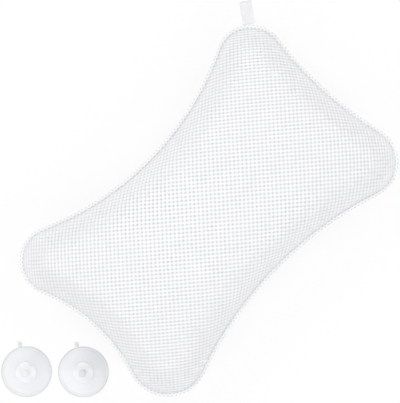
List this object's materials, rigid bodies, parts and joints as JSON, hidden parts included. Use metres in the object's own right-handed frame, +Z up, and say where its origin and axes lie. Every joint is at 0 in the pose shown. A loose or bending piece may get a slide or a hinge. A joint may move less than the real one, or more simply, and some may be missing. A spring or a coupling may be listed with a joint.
{
  "type": "bath pillow",
  "caption": "Bone-shaped padded mesh bath pillow with a piped edge, a hanging loop, and loose suction cups whose knobs snap into eyelets in its back.",
  "frame": {"origin": "middle of the flat on the pillow's back, on the surface that it lies on", "axes": "+X along the pillow's length towards the end with the hanging loop, +Y across its width towards the loop's side, +Z up out of its front"},
  "size_m": [0.5006, 0.26, 0.1],
  "materials": {
    "mesh_fabric": "white knitted spacer mesh with small round holes in a square grid",
    "wadding": "loose white polyester fibre",
    "piping_fabric": "white mesh strip stretched round a cord",
    "cord_fibre": "off-white spun cord",
    "loop_webbing": "pale grey ribbed tape",
    "eyelet_plastic": "white moulded plastic",
    "clear_vinyl": "soft translucent vinyl, faintly blue grey"
  },
  "bodies": {
    "pillow": {"front_panel": "mesh_fabric", "back_panel": "mesh_fabric", "fibre_fill": "wadding", "piping_tape": "piping_fabric", "piping_cord": "cord_fibre", "eyelet_a": "eyelet_plastic", "eyelet_b": "eyelet_plastic", "eyelet_washer_a": "eyelet_plastic", "eyelet_washer_b": "eyelet_plastic"},
    "loop": {"hanging_loop": "loop_webbing"},
    "cup_a": {"suction_cup_a": "clear_vinyl"},
    "cup_b": {"suction_cup_b": "clear_vinyl"},
    "knob_a": {"cup_knob_a": "clear_vinyl"},
    "knob_b": {"cup_knob_b": "clear_vinyl"},
    "tab_a": {"pull_tab_a": "clear_vinyl"},
    "tab_b": {"pull_tab_b": "clear_vinyl"}
  },
  "joints": [
    {"name": "loop_swing", "type": "hinge", "parent": "pillow", "child": "loop", "pos_m": [0.17764, 0.11514, 0.042], "axis": [0.7986, -0.6018, 0], "range_deg": [-80, 80], "stiffness_Nm_per_rad": 0.002},
    {"name": "cup_a_lift", "type": "slide", "parent": "pillow", "child": "cup_a", "axis": [0, 0, 1], "range_m": [0, 0.06]},
    {"name": "cup_b_lift", "type": "slide", "parent": "pillow", "child": "cup_b", "axis": [0, 0, 1], "range_m": [0, 0.06]},
    {"name": "cup_a_press", "type": "slide", "parent": "cup_a", "child": "knob_a", "axis": [0, 0, 1], "range_m": [-0.005, 0], "stiffness_N_per_m": 100, "deforming": ["suction_cup_a"]},
    {"name": "cup_b_press", "type": "slide", "parent": "cup_b", "child": "knob_b", "axis": [0, 0, 1], "range_m": [-0.005, 0], "stiffness_N_per_m": 100, "deforming": ["suction_cup_b"]},
    {"name": "tab_a_peel", "type": "hinge", "parent": "cup_a", "child": "tab_a", "pos_m": [-0.25903, 0.05129, 0.0014], "axis": [0.8434, -0.5373, 0], "range_deg": [0, 70], "stiffness_Nm_per_rad": 0.0002},
    {"name": "tab_b_peel", "type": "hinge", "parent": "cup_b", "child": "tab_b", "pos_m": [-0.21503, 0.00479, 0.0014], "axis": [0.8434, -0.5373, 0], "range_deg": [0, 70], "stiffness_Nm_per_rad": 0.0002}
  ]
}
